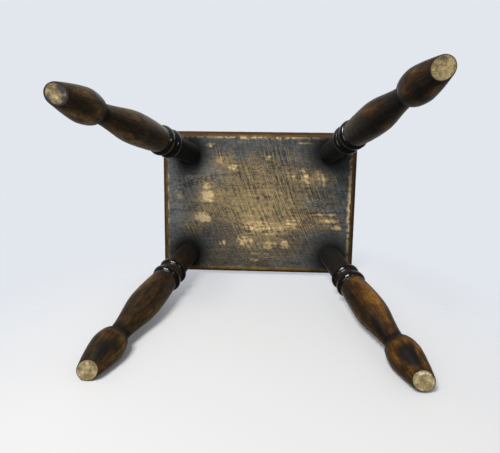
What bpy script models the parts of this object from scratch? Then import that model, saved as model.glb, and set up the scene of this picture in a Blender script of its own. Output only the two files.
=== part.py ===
"""A hearth stool: a moulded seat board on four splayed, turned legs.

Each leg is turned in one piece, with a level shoulder under the seat and a level foot.
Its round tenon goes right through the board and is spread by a wedge, which is driven
into a saw kerf across the grain. X runs along the seat and the grain, -Y is the front,
and the feet stand at Z = 0.
"""

import math

import bmesh
import bpy
from mathutils import Matrix, Vector

# Seat board, in metres
SEAT_LENGTH = 0.305
SEAT_WIDTH = 0.224
SEAT_THICKNESS = 0.022
UNDERSIDE_HEIGHT = 0.235
UNDER_BEVEL = 0.0088
UNDER_BEVEL_FULLNESS = 0.4
TOP_ROUND = 0.0060
TOP_ROUND_FULLNESS = 0.5

# Where each leg enters the underside, measured in from the seat's end and from its long side.
# The sockets are bored by eye, so no two legs stand alike.
FRONT_LEFT_END_INSET = 0.0430
FRONT_LEFT_SIDE_INSET = 0.0334
FRONT_RIGHT_END_INSET = 0.0426
FRONT_RIGHT_SIDE_INSET = 0.0298
BACK_LEFT_END_INSET = 0.0413
BACK_LEFT_SIDE_INSET = 0.0310
BACK_RIGHT_END_INSET = 0.0353
BACK_RIGHT_SIDE_INSET = 0.0280

# Each leg's side of the seat in X and Y, its insets, and its splay outwards in X and Y, in degrees
LEGS = {
    "front_left": (-1, -1, FRONT_LEFT_END_INSET, FRONT_LEFT_SIDE_INSET, 23.4, 14.5),
    "front_right": (1, -1, FRONT_RIGHT_END_INSET, FRONT_RIGHT_SIDE_INSET, 19.6, 20.1),
    "back_left": (-1, 1, BACK_LEFT_END_INSET, BACK_LEFT_SIDE_INSET, 18.5, 21.7),
    "back_right": (1, 1, BACK_RIGHT_END_INSET, BACK_RIGHT_SIDE_INSET, 18.9, 20.6),
}

# Turned profile, from the seat down to the foot
NECK_LENGTH = 0.0485
NECK_RADIUS = 0.0160
NECK_FLARE_RADIUS = 0.0172
UPPER_RING_WIDTH = 0.0108
UPPER_RING_RADIUS = 0.0216
GROOVE_WIDTH = 0.0080
GROOVE_EDGE_RADIUS = 0.0188
GROOVE_RADIUS = 0.0174
LOWER_RING_WIDTH = 0.0120
LOWER_RING_RADIUS = 0.0221
VASE_START_RADIUS = 0.0186
VASE_RADIUS = 0.0219
VASE_SWELL_LENGTH = 0.0520
WAIST_RADIUS = 0.0130
BULB_SHOULDER_LENGTH = 0.0240
BULB_RADIUS = 0.0211
BULB_TAPER_LENGTH = 0.0398
FOOT_RADIUS = 0.0125

# Tenon and wedge
TENON_RADIUS = 0.0125
WEDGE_THICKNESS = 0.0042
WEDGE_TIP = 0.0014
WEDGE_DEPTH = 0.0170

# Room between pieces that touch, and how far a cutter runs past what it cuts
CLEARANCE = 0.0003
CUT_MARGIN = 0.010

# How full the rings are, and how late the taper to the foot bends in
RING_FULLNESS = 0.6
TAPER_BEND = 1.35

# Fineness of the round shapes
TURN_STEPS = 28
NECK_POINTS = 4
RING_POINTS = 6
GROOVE_POINTS = 4
SWELL_POINTS = 5
VASE_POINTS = 7
SHOULDER_POINTS = 6
TAPER_POINTS = 5
TOP_ROUND_STEPS = 5
UNDER_BEVEL_STEPS = 3
MERGE_DISTANCE = 0.00005

# Finishes: linear red, green and blue, then roughness
SEAT_FINISH = ((0.030, 0.022, 0.018), 0.55)
LEG_FINISH = ((0.045, 0.024, 0.012), 0.35)
WEDGE_FINISH = ((0.110, 0.065, 0.030), 0.60)

SEAT_TOP = UNDERSIDE_HEIGHT + SEAT_THICKNESS


def clear_scene():
    for old in list(bpy.data.objects):
        bpy.data.objects.remove(old, do_unlink=True)


def new_collection(name):
    collection = bpy.data.collections.new(name)
    bpy.context.scene.collection.children.link(collection)
    return collection


def wood(name, colour, roughness):
    """A plain stained wood, with its colour as linear red, green and blue."""
    material = bpy.data.materials.new(name)
    material.use_nodes = True
    shader = material.node_tree.nodes["Principled BSDF"]
    shader.inputs["Base Color"].default_value = (*colour, 1.0)
    shader.inputs["Roughness"].default_value = roughness
    shader.inputs["Metallic"].default_value = 0.0
    return material


def add_object(name, mesh, collection, assembly, material=None):
    obj = bpy.data.objects.new(name, mesh)
    collection.objects.link(obj)
    obj.parent = assembly
    if material:
        mesh.materials.append(material)
    return obj


def make_cutter(obj):
    obj.hide_render = True
    obj.display_type = "WIRE"
    return obj


def boolean(obj, operation, other):
    modifier = obj.modifiers.new(f"{operation.lower()} {other.name}", "BOOLEAN")
    modifier.operation = operation
    modifier.solver = "EXACT"
    modifier.object = other


def box_mesh(name, size, centre):
    bm = bmesh.new()
    bmesh.ops.create_cube(bm, size=1.0)
    bmesh.ops.scale(bm, vec=size, verts=bm.verts)
    bmesh.ops.translate(bm, vec=centre, verts=bm.verts)
    mesh = bpy.data.meshes.new(name)
    bm.to_mesh(mesh)
    bm.free()
    return mesh


def level_cutter(name, low, high, collection, assembly):
    """A slab across the whole stool, between two heights."""
    reach = UNDERSIDE_HEIGHT + SEAT_LENGTH + SEAT_WIDTH
    size = (2 * reach, 2 * reach, high - low)
    mesh = box_mesh(name, size, (0, 0, (low + high) / 2))
    return make_cutter(add_object(name, mesh, collection, assembly))


def turned_object(name, profile, collection, assembly, material=None):
    """A solid of revolution from (distance down the axis, radius) points, with flat ends."""
    top = profile[0][0]
    bottom = profile[-1][0]
    outline = [(top, 0.0), *profile, (bottom, 0.0)]
    mesh = bpy.data.meshes.new(name)
    vertices = [(radius, 0.0, -distance) for distance, radius in outline]
    edges = [(index, index + 1) for index in range(len(vertices) - 1)]
    mesh.from_pydata(vertices, edges, [])
    obj = add_object(name, mesh, collection, assembly, material)
    screw = obj.modifiers.new("turning", "SCREW")
    screw.axis = "Z"
    screw.steps = TURN_STEPS
    screw.render_steps = TURN_STEPS
    screw.use_merge_vertices = True
    screw.merge_threshold = MERGE_DISTANCE
    screw.use_smooth_shade = True
    return obj


def leg_frame(side_x, side_y, end_inset, side_inset, splay_x, splay_y):
    """The leg's own axes at the underside: local Z runs up the leg, local Y across the grain."""
    upward = Vector((
        -side_x * math.tan(math.radians(splay_x)),
        -side_y * math.tan(math.radians(splay_y)),
        1.0,
    )).normalized()
    across = Vector((0.0, 1.0, 0.0))
    across = (across - upward * across.dot(upward)).normalized()
    along = across.cross(upward)
    root = Vector((
        side_x * (SEAT_LENGTH / 2 - end_inset),
        side_y * (SEAT_WIDTH / 2 - side_inset),
        UNDERSIDE_HEIGHT,
    ))
    turn = Matrix((along, across, upward)).transposed().to_4x4()
    return Matrix.Translation(root) @ turn


def ease(share):
    """Runs from 0 to 1 with a level start and a level end."""
    return (1 - math.cos(math.pi * share)) / 2


def curve_points(start, length, shape, count):
    """Points along a stretch of the profile, without its first one."""
    shares = [step / count for step in range(1, count + 1)]
    return [(start + length * share, shape(share)) for share in shares]


def ring_points(start, width, radius, near_radius, far_radius):
    """A half-round ring between two radii at its sides."""
    def shape(share):
        base = near_radius + (far_radius - near_radius) * share
        return base + (radius - base) * math.sin(math.pi * share) ** RING_FULLNESS
    return curve_points(start, width, shape, RING_POINTS)


def leg_profile(axis_length, tilt):
    """Distances down the axis from the underside, and radii, from neck to foot."""
    neck_rise = NECK_RADIUS * math.tan(tilt) + CUT_MARGIN
    foot_drop = FOOT_RADIUS * math.tan(tilt) + CUT_MARGIN
    ring_one = NECK_LENGTH
    groove = ring_one + UPPER_RING_WIDTH
    ring_two = groove + GROOVE_WIDTH
    vase = ring_two + LOWER_RING_WIDTH
    swell = vase + VASE_SWELL_LENGTH
    bulb = axis_length - BULB_TAPER_LENGTH
    waist = bulb - BULB_SHOULDER_LENGTH

    def neck_shape(share):
        return NECK_RADIUS + (NECK_FLARE_RADIUS - NECK_RADIUS) * share ** 2

    def groove_shape(share):
        return GROOVE_EDGE_RADIUS - (GROOVE_EDGE_RADIUS - GROOVE_RADIUS) * math.sin(math.pi * share)

    def swell_shape(share):
        return VASE_START_RADIUS + (VASE_RADIUS - VASE_START_RADIUS) * (1 - (1 - share) ** 2)

    def vase_shape(share):
        return VASE_RADIUS + (WAIST_RADIUS - VASE_RADIUS) * ease(share)

    def shoulder_shape(share):
        return WAIST_RADIUS + (BULB_RADIUS - WAIST_RADIUS) * math.sqrt(1 - (1 - share) ** 2)

    def taper_shape(share):
        return BULB_RADIUS + (FOOT_RADIUS - BULB_RADIUS) * share ** TAPER_BEND

    upper_ring = (UPPER_RING_WIDTH, UPPER_RING_RADIUS, NECK_FLARE_RADIUS, GROOVE_EDGE_RADIUS)
    lower_ring = (LOWER_RING_WIDTH, LOWER_RING_RADIUS, GROOVE_EDGE_RADIUS, VASE_START_RADIUS)
    points = [(-neck_rise, NECK_RADIUS), (0.0, NECK_RADIUS)]
    points += curve_points(0.0, NECK_LENGTH, neck_shape, NECK_POINTS)
    points += ring_points(ring_one, *upper_ring)
    points += curve_points(groove, GROOVE_WIDTH, groove_shape, GROOVE_POINTS)
    points += ring_points(ring_two, *lower_ring)
    points += curve_points(vase, VASE_SWELL_LENGTH, swell_shape, SWELL_POINTS)
    points += curve_points(swell, waist - swell, vase_shape, VASE_POINTS)
    points += curve_points(waist, BULB_SHOULDER_LENGTH, shoulder_shape, SHOULDER_POINTS)
    points += curve_points(bulb, BULB_TAPER_LENGTH, taper_shape, TAPER_POINTS)
    points.append((axis_length + foot_drop, taper_shape(1 + foot_drop / BULB_TAPER_LENGTH)))
    return points


def wedge_mesh(name, tenon_rise, growth):
    """A wedge in the leg's own axes, its tip down; growth makes it the kerf that takes it."""
    low = tenon_rise - WEDGE_DEPTH
    high = tenon_rise + CUT_MARGIN
    widening = (WEDGE_THICKNESS - WEDGE_TIP) / WEDGE_DEPTH
    size = (1.0, 2 * TENON_RADIUS + CUT_MARGIN, high - low)
    mesh = box_mesh(name, size, (0, 0, (low + high) / 2))
    for vertex in mesh.vertices:
        thickness = WEDGE_TIP + widening * (vertex.co.z - low) + 2 * growth
        vertex.co.x *= thickness
        if vertex.co.z < tenon_rise - WEDGE_DEPTH / 2:
            vertex.co.z -= growth
    return mesh


def edges_at(bm, test):
    return [edge for edge in bm.edges if all(test(vertex.co) for vertex in edge.verts)]


def round_edges(bm, edges, width, steps, fullness):
    bmesh.ops.bevel(bm, geom=edges, offset=width, segments=steps, profile=fullness, affect="EDGES")


def seat_mesh(name):
    """A board with a bevel round the underside and a rounded top edge, mitred at the corners."""
    middle = UNDERSIDE_HEIGHT + SEAT_THICKNESS / 2
    mesh = box_mesh(name, (SEAT_LENGTH, SEAT_WIDTH, SEAT_THICKNESS), (0, 0, middle))
    bm = bmesh.new()
    bm.from_mesh(mesh)
    top = edges_at(bm, lambda place: place.z > middle)
    round_edges(bm, top, TOP_ROUND, TOP_ROUND_STEPS, TOP_ROUND_FULLNESS)
    under = edges_at(bm, lambda place: place.z < UNDERSIDE_HEIGHT + CLEARANCE)
    round_edges(bm, under, UNDER_BEVEL, UNDER_BEVEL_STEPS, UNDER_BEVEL_FULLNESS)
    bm.to_mesh(mesh)
    bm.free()
    return mesh


def build_leg(place, name, cutters, parts, helpers, assembly, material):
    """One leg with its tenon and kerf, and the wedge that fills the kerf."""
    frame = leg_frame(*place)
    tilt = math.acos(frame.col[2].to_3d().z)
    axis_length = UNDERSIDE_HEIGHT / math.cos(tilt)
    tenon_rise = SEAT_THICKNESS / math.cos(tilt)
    tenon_top = tenon_rise + TENON_RADIUS * math.tan(tilt) + CUT_MARGIN
    bore_radius = TENON_RADIUS + CLEARANCE

    tenon_profile = [(-tenon_top, TENON_RADIUS), (NECK_LENGTH / 2, TENON_RADIUS)]
    bore_profile = [(-tenon_top, bore_radius), (NECK_LENGTH / 2, bore_radius)]
    tenon = make_cutter(turned_object(f"tenon_{name}", tenon_profile, helpers, assembly))
    bore = make_cutter(turned_object(f"bore_{name}", bore_profile, helpers, assembly))
    kerf_mesh = wedge_mesh(f"kerf_{name}", tenon_rise, CLEARANCE)
    kerf = make_cutter(add_object(f"kerf_{name}", kerf_mesh, helpers, assembly))

    leg = turned_object(f"leg_{name}", leg_profile(axis_length, tilt), parts, assembly, material["leg"])
    boolean(leg, "DIFFERENCE", cutters["shoulder"])
    boolean(leg, "UNION", tenon)
    boolean(leg, "DIFFERENCE", cutters["top"])
    boolean(leg, "DIFFERENCE", cutters["floor"])
    boolean(leg, "DIFFERENCE", kerf)

    wedge_body = wedge_mesh(f"wedge_{name}", tenon_rise, 0.0)
    wedge = add_object(f"wedge_{name}", wedge_body, parts, assembly, material["wedge"])
    boolean(wedge, "INTERSECT", tenon)
    boolean(wedge, "DIFFERENCE", cutters["top"])

    for obj in (tenon, bore, kerf, leg, wedge):
        obj.matrix_local = frame
    return bore


def centre_on_origin(assembly, parts):
    """The legs splay unequally, so the stool is moved until its box is centred over the origin."""
    bpy.context.view_layer.update()
    graph = bpy.context.evaluated_depsgraph_get()
    corners = []
    for obj in parts.objects:
        evaluated = obj.evaluated_get(graph)
        mesh = evaluated.to_mesh()
        corners += [evaluated.matrix_world @ vertex.co for vertex in mesh.vertices]
        evaluated.to_mesh_clear()
    for axis in (0, 1):
        values = [corner[axis] for corner in corners]
        assembly.location[axis] -= (min(values) + max(values)) / 2


def main():
    clear_scene()
    parts = new_collection("hearth_stool")
    helpers = new_collection("cutters")
    assembly = bpy.data.objects.new("stool_frame", None)
    bpy.context.scene.collection.objects.link(assembly)

    material = {
        "seat": wood("dark_stained_seat", *SEAT_FINISH),
        "leg": wood("dark_polished_leg", *LEG_FINISH),
        "wedge": wood("bare_oak_wedge", *WEDGE_FINISH),
    }
    shoulder = UNDERSIDE_HEIGHT - CLEARANCE
    sky = SEAT_TOP + UNDERSIDE_HEIGHT
    cutters = {
        "shoulder": level_cutter("above_shoulder", shoulder, sky, helpers, assembly),
        "top": level_cutter("above_seat", SEAT_TOP, sky, helpers, assembly),
        "floor": level_cutter("below_floor", -UNDERSIDE_HEIGHT, 0.0, helpers, assembly),
    }
    seat = add_object("seat_board", seat_mesh("seat_board"), parts, assembly, material["seat"])
    for name, place in LEGS.items():
        bore = build_leg(place, name, cutters, parts, helpers, assembly, material)
        boolean(seat, "DIFFERENCE", bore)
    centre_on_origin(assembly, parts)


main()
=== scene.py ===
"""The looks of a hearth stool: a worn, dark seat board on four turned legs.

The stool stands upright in its own frame, and the camera looks up at its underside, as if it
lay on its side: the picture's up is -Y, its right is +X, and its floor is on the +Y side.
"""

import itertools
import math

import bmesh
import bpy
import numpy as np
from mathutils import Matrix, Vector


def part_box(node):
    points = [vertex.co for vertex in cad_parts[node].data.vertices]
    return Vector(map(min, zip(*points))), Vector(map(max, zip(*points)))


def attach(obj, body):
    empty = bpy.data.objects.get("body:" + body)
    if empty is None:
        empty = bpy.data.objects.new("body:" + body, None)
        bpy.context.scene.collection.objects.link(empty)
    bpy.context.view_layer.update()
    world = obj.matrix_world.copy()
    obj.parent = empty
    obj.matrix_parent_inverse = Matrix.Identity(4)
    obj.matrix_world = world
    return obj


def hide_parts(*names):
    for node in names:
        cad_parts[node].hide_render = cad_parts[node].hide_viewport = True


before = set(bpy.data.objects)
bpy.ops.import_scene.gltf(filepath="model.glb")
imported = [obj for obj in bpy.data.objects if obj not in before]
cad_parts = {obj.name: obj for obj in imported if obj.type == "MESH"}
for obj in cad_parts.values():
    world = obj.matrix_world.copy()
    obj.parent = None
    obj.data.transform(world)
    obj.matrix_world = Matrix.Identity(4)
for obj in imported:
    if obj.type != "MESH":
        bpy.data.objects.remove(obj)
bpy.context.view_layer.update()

# The seat board, measured from the frame, in metres
SEAT_LOW, SEAT_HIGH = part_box("seat_board")
SEAT_CENTRE = (SEAT_LOW + SEAT_HIGH) / 2
SEAT_LENGTH, SEAT_WIDTH, SEAT_THICKNESS = SEAT_HIGH - SEAT_LOW
UNDERSIDE = SEAT_LOW.z
SEAT_TOP = SEAT_HIGH.z
UNDER_BEVEL = 0.0088
TOP_ROUND = 0.0060
CORNER_ROUND = 0.0022

# Each leg's side of the seat in X and Y; where it enters the underside, measured in from
# the end and from the long side; and its splay outwards in X and Y, in degrees
LEGS = {
    "front_left": (-1, -1, 0.0430, 0.0334, 23.4, 14.5),
    "front_right": (1, -1, 0.0426, 0.0298, 19.6, 20.1),
    "back_left": (-1, 1, 0.0413, 0.0310, 18.5, 21.7),
    "back_right": (1, 1, 0.0353, 0.0280, 18.9, 20.6),
}

# Turned profile, from the seat down to the foot
NECK_LENGTH = 0.0485
NECK_RADIUS = 0.0160
NECK_FLARE_RADIUS = 0.0172
UPPER_RING_WIDTH = 0.0108
UPPER_RING_RADIUS = 0.0216
GROOVE_WIDTH = 0.0080
GROOVE_EDGE_RADIUS = 0.0188
GROOVE_RADIUS = 0.0174
LOWER_RING_WIDTH = 0.0120
LOWER_RING_RADIUS = 0.0221
VASE_START_RADIUS = 0.0186
VASE_RADIUS = 0.0219
VASE_SWELL_LENGTH = 0.0520
WAIST_RADIUS = 0.0130
BULB_SHOULDER_LENGTH = 0.0240
BULB_RADIUS = 0.0211
BULB_TAPER_LENGTH = 0.0398
FOOT_RADIUS = 0.0125
FOOT_ROUND = 0.0010
RING_FULLNESS = 0.6
TAPER_BEND = 1.35

# Where the profile's upper stretches start, down the leg's axis from the underside
UPPER_RING = NECK_LENGTH
GROOVE = UPPER_RING + UPPER_RING_WIDTH
LOWER_RING = GROOVE + GROOVE_WIDTH
VASE = LOWER_RING + LOWER_RING_WIDTH
BELLY = VASE + VASE_SWELL_LENGTH

# Tenon, kerf and the room left round them
TENON_RADIUS = 0.0125
WEDGE_THICKNESS = 0.0042
WEDGE_TIP = 0.0014
WEDGE_DEPTH = 0.0170
CLEARANCE = 0.0003
CUT_MARGIN = 0.010

# Camera: its place and where it aims, right and up in the picture and out from the
# underside, measured from the middle of the underside; its roll in degrees, and its lens
CAMERA_RIGHT = 0.02275
CAMERA_UP = 0.07856
CAMERA_OUT = 0.73224
AIM_RIGHT = -0.01272
AIM_UP = -0.03664
CAMERA_ROLL = 0.78
FOCAL_LENGTH = 33.48
SENSOR_WIDTH = 36.0
NEAREST_SEEN = 0.01


def in_picture(right, up, out):
    """A point given right and up in the picture and out from the middle of the underside."""
    return Vector((SEAT_CENTRE.x + right, SEAT_CENTRE.y - up, UNDERSIDE - out))


CAMERA_PLACE = in_picture(CAMERA_RIGHT, CAMERA_UP, CAMERA_OUT)
CAMERA_AIM = in_picture(AIM_RIGHT, AIM_UP, 0.0)


# Noise and curves

def cell_value(cells, seed):
    """A fixed value from 0 to 1 for each whole-numbered cell."""
    mixed = cells[..., 0] * 374761393 + cells[..., 1] * 668265263 + cells[..., 2] * 1274126177
    mixed = mixed + seed * 362437
    mixed = (mixed ^ (mixed >> 13)) * 1103515245
    mixed = mixed ^ (mixed >> 16)
    return (mixed & 0xFFFF) / 0xFFFF


def noise(points, size, seed):
    """Smooth noise from 0 to 1 whose features are about one size long."""
    scaled = points / np.asarray(size)
    cell = np.floor(scaled).astype(np.int64)
    part = scaled - cell
    part = part * part * (3 - 2 * part)
    total = np.zeros(points.shape[:-1])
    for corner in itertools.product((0, 1), repeat=3):
        step = np.array(corner)
        weight = np.prod(np.where(step, part, 1 - part), axis=-1)
        total += weight * cell_value(cell + step, seed)
    return total


def clouds(points, size, seed, octaves=3):
    """Noise from 0 to 1 with finer noise on top."""
    total = np.zeros(points.shape[:-1])
    share = 0.0
    for octave in range(octaves):
        weight = 0.5 ** octave
        total += weight * noise(points, np.asarray(size) * weight, seed + octave)
        share += weight
    return total / share


def smooth_step(low, high, value):
    part = np.clip((value - low) / (high - low), 0.0, 1.0)
    return part * part * (3 - 2 * part)


def near(value, place, reach, power=2):
    """A bump that is 1 at a place and fades over a reach."""
    return np.exp(-(np.abs(value - place) / reach) ** power)


def ease(share):
    return (1 - np.cos(np.pi * share)) / 2


def slowing(share):
    return 1 - (1 - share) ** 2


def arch(share):
    return np.sin(np.pi * np.clip(share, 0.0, 1.0))


# Frames and meshes

def axes_at(place, along, across, upward):
    """A frame at a place, from its three axes."""
    return Matrix.Translation(place) @ Matrix((along, across, upward)).transposed().to_4x4()


def new_object(name, data, materials=()):
    made = bpy.data.objects.new(name, data)
    bpy.context.scene.collection.objects.link(made)
    for material in materials:
        data.materials.append(material)
    return made


def mesh_of(name, bm):
    """A mesh from an edit mesh, which is freed."""
    mesh = bpy.data.meshes.new(name)
    bm.to_mesh(mesh)
    bm.free()
    return mesh


def mesh_from(name, vertices, faces):
    """A smooth mesh whose faces all look outwards."""
    mesh = bpy.data.meshes.new(name)
    mesh.from_pydata(np.asarray(vertices).tolist(), [], faces)
    bm = bmesh.new()
    bm.from_mesh(mesh)
    bmesh.ops.recalc_face_normals(bm, faces=bm.faces)
    bm.to_mesh(mesh)
    bm.free()
    mesh.polygons.foreach_set("use_smooth", np.ones(len(faces), bool))
    return mesh


def strip_faces(first, second):
    """Quads between two closed loops of vertex numbers."""
    return list(zip(first, first[1:] + first[:1], second[1:] + second[:1], second))


def cut_away(piece, cutter):
    """Takes the cutter out of the piece, for good, and removes the cutter."""
    modifier = piece.modifiers.new("cut", "BOOLEAN")
    modifier.operation = "DIFFERENCE"
    modifier.solver = "EXACT"
    modifier.object = cutter
    bpy.context.view_layer.update()
    graph = bpy.context.evaluated_depsgraph_get()
    cut = bpy.data.meshes.new_from_object(piece.evaluated_get(graph))
    piece.modifiers.remove(modifier)
    piece.data = cut
    bpy.data.objects.remove(cutter, do_unlink=True)


def corner_places(mesh):
    places = np.zeros(len(mesh.vertices) * 3)
    mesh.vertices.foreach_get("co", places)
    return places.reshape(-1, 3)


def set_values(mesh, table):
    """Keeps numbers or places for the vertices, which the materials read by name."""
    for name, values in table.items():
        values = np.asarray(values, np.float32)
        kind, field = ("FLOAT", "value") if values.ndim == 1 else ("FLOAT_VECTOR", "vector")
        attribute = mesh.attributes.new(name, kind, "POINT")
        attribute.data.foreach_set(field, values.ravel())


# Legs

# Fineness of the legs' meshes: steps round and along them, and rows near their ends
TURN_STEPS = 112
FINE_STEP = 0.0005
COARSE_STEP = 0.0013
END_STEPS = 14
SHOULDER_ROWS = 8
FOOT_ROWS = 14
SETTLE_STEPS = 12

# Depths and reaches of the legs' wear, and of their dirt and painted shade
OUT_OF_ROUND = 0.0007
TOOL_MARK_DEPTH = 0.00022
DENT_DEPTH = 0.0005
END_WEAR_DEPTH = 0.0004
CREASE_LENGTH = 0.0070
ROOT_SOOT_AND_SHADE_REACH = 0.014
NECK_FADE = 0.008

# Numbers of the legs' materials
POLISH, DULL_POLISH, FOOT_END, TENON_END = range(4)


def leg_frame(side_x, side_y, end_inset, side_inset, splay_x, splay_y):
    """The leg's own axes at the underside: local Z runs up the leg, local Y across the grain."""
    upward = Vector((
        -side_x * math.tan(math.radians(splay_x)),
        -side_y * math.tan(math.radians(splay_y)),
        1.0,
    )).normalized()
    across = Vector((0.0, 1.0, 0.0))
    across = (across - upward * across.dot(upward)).normalized()
    along = across.cross(upward)
    root = Vector((
        SEAT_CENTRE.x + side_x * (SEAT_LENGTH / 2 - end_inset),
        SEAT_CENTRE.y + side_y * (SEAT_WIDTH / 2 - side_inset),
        UNDERSIDE,
    ))
    return axes_at(root, along, across, upward)


def leg_stretches(waist, bulb):
    """The profile from neck to foot: where each stretch starts, its length, its shape, its step."""
    def bend(first, last, curve):
        return lambda share: first + (last - first) * curve(share)

    def ring(radius, first, last):
        def shape(share):
            base = first + (last - first) * share
            return base + (radius - base) * arch(share) ** RING_FULLNESS
        return shape

    def quarter_round(share):
        return np.sqrt(np.clip(slowing(share), 0.0, 1.0))

    def taper(share):
        return np.clip(share, 0.0, None) ** TAPER_BEND

    upper = ring(UPPER_RING_RADIUS, NECK_FLARE_RADIUS, GROOVE_EDGE_RADIUS)
    lower = ring(LOWER_RING_RADIUS, GROOVE_EDGE_RADIUS, VASE_START_RADIUS)
    return [
        (0.0, NECK_LENGTH, bend(NECK_RADIUS, NECK_FLARE_RADIUS, np.square), COARSE_STEP),
        (UPPER_RING, UPPER_RING_WIDTH, upper, FINE_STEP),
        (GROOVE, GROOVE_WIDTH, bend(GROOVE_EDGE_RADIUS, GROOVE_RADIUS, arch), FINE_STEP),
        (LOWER_RING, LOWER_RING_WIDTH, lower, FINE_STEP),
        (VASE, VASE_SWELL_LENGTH, bend(VASE_START_RADIUS, VASE_RADIUS, slowing), COARSE_STEP),
        (BELLY, waist - BELLY, bend(VASE_RADIUS, WAIST_RADIUS, ease), COARSE_STEP),
        (waist, BULB_SHOULDER_LENGTH, bend(WAIST_RADIUS, BULB_RADIUS, quarter_round), FINE_STEP),
        (bulb, BULB_TAPER_LENGTH, bend(BULB_RADIUS, FOOT_RADIUS, taper), COARSE_STEP),
    ]


class LegShape:
    """One leg's frame, profile and uneven surface, in its own axes."""

    def __init__(self, name):
        self.name = name
        self.seed = 100 * (1 + list(LEGS).index(name))
        self.frame = leg_frame(*LEGS[name])
        self.turn = self.frame.to_3x3()
        self.level = np.array(self.turn.row[2])
        self.axis_length = UNDERSIDE / self.level[2]
        bulb = self.axis_length - BULB_TAPER_LENGTH
        self.waist = bulb - BULB_SHOULDER_LENGTH
        self.stretches = leg_stretches(self.waist, bulb)
        angles = np.arange(TURN_STEPS) * 2 * np.pi / TURN_STEPS
        self.circle = np.stack([np.cos(angles), np.sin(angles)], axis=-1)

    def facing(self):
        """The angle round the leg of the side that faces the camera."""
        middle = self.frame @ Vector((0.0, 0.0, -self.axis_length / 2))
        towards = self.turn.transposed() @ (CAMERA_PLACE - middle)
        return math.atan2(towards.y, towards.x)

    def radius_at(self, distance):
        """The turned radius at distances down the axis from the underside."""
        radius = np.full(distance.shape, NECK_RADIUS)
        for start, length, shape, _ in self.stretches:
            here = distance >= start
            radius[here] = shape((distance[here] - start) / length)
        return radius

    def distance_to(self, height, radius=None):
        """How far down the axis the turned surface, or a plain radius, meets a level plane."""
        lean = self.circle @ self.level[:2]
        distance = np.full(TURN_STEPS, (UNDERSIDE - height) / self.level[2])
        for _ in range(SETTLE_STEPS):
            reach = radius or self.radius_at(distance)
            distance = (UNDERSIDE - height + reach * lean) / self.level[2]
        return distance

    def unevenness(self, points):
        """Hand-turned and worn: slightly out of round, dented and rubbed."""
        rough = clouds(points, 0.022, self.seed) - 0.5
        fine = clouds(points, 0.0055, self.seed + 7, 2) - 0.5
        dents = smooth_step(0.80, 1.0, noise(points, 0.009, self.seed + 13))
        return OUT_OF_ROUND * rough + TOOL_MARK_DEPTH * fine - DENT_DEPTH * dents

    def ring_at(self, distance, radius):
        """A closed ring of points, with distance and radius given all round."""
        flat = self.circle * np.reshape(radius, (-1, 1))
        return np.column_stack([flat, -np.broadcast_to(distance, TURN_STEPS)])

    def side_rings(self):
        """Rings from the shoulder under the seat to the round at the foot."""
        top = self.distance_to(UNDERSIDE - CLEARANCE, NECK_RADIUS)
        bottom = self.distance_to(FOOT_ROUND)
        settled = top.max() + 2 * COARSE_STEP
        loose = bottom.min() - 2 * COARSE_STEP
        rows = [top + (settled - top) * share for share in np.linspace(0, 1, SHOULDER_ROWS)[:-1] ** 2]
        for start, length, _, step in self.stretches:
            count = math.ceil(length / step)
            places = start + length * np.arange(count) / count
            rows += [place for place in places if settled <= place <= loose]
        rows += [loose + (bottom - loose) * share for share in np.linspace(0, 1, FOOT_ROWS)]
        rings = []
        for row in rows:
            distance = np.broadcast_to(row, TURN_STEPS).astype(float)
            radius = self.radius_at(distance)
            radius = radius + self.unevenness(self.ring_at(distance, radius))
            rings.append(self.ring_at(distance, radius))
        return rings

    def end_rings(self, edge, inward):
        """Rings across a level end, sinking a little where the end grain has worn."""
        centre = edge.mean(axis=0)
        rings = []
        for share in np.linspace(1, 0, END_STEPS, endpoint=False)[1:]:
            ring = centre + (edge - centre) * share
            depth = END_WEAR_DEPTH * clouds(ring, 0.004, self.seed + 31) * (1 - share ** 4)
            rings.append(ring + inward * depth[:, None] * self.level)
        return rings

    def rings(self):
        """All rings, from the tenon's top to the middle of the foot, and which are level ends."""
        tenon_top = self.ring_at(self.distance_to(SEAT_TOP, TENON_RADIUS), TENON_RADIUS)
        shoulder = self.distance_to(UNDERSIDE - CLEARANCE, TENON_RADIUS)
        tenon_low = self.ring_at(shoulder, TENON_RADIUS)
        sides = self.side_rings()
        edge = sides[-1]
        centre = edge.mean(axis=0)
        towards = centre - edge
        towards /= np.linalg.norm(towards, axis=1)[:, None]
        arris = []
        for turn in (30, 60, 90):
            inset = FOOT_ROUND * (1 - math.cos(math.radians(turn)))
            drop = FOOT_ROUND * math.sin(math.radians(turn))
            arris.append(edge + towards * inset - self.level * drop)
        top_end = self.end_rings(tenon_top, -1)[::-1]
        foot_end = self.end_rings(arris[-1], 1)
        rings = [*top_end, tenon_top, tenon_low, *sides, *arris, *foot_end]
        return np.array(rings), len(top_end), len(foot_end)


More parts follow.
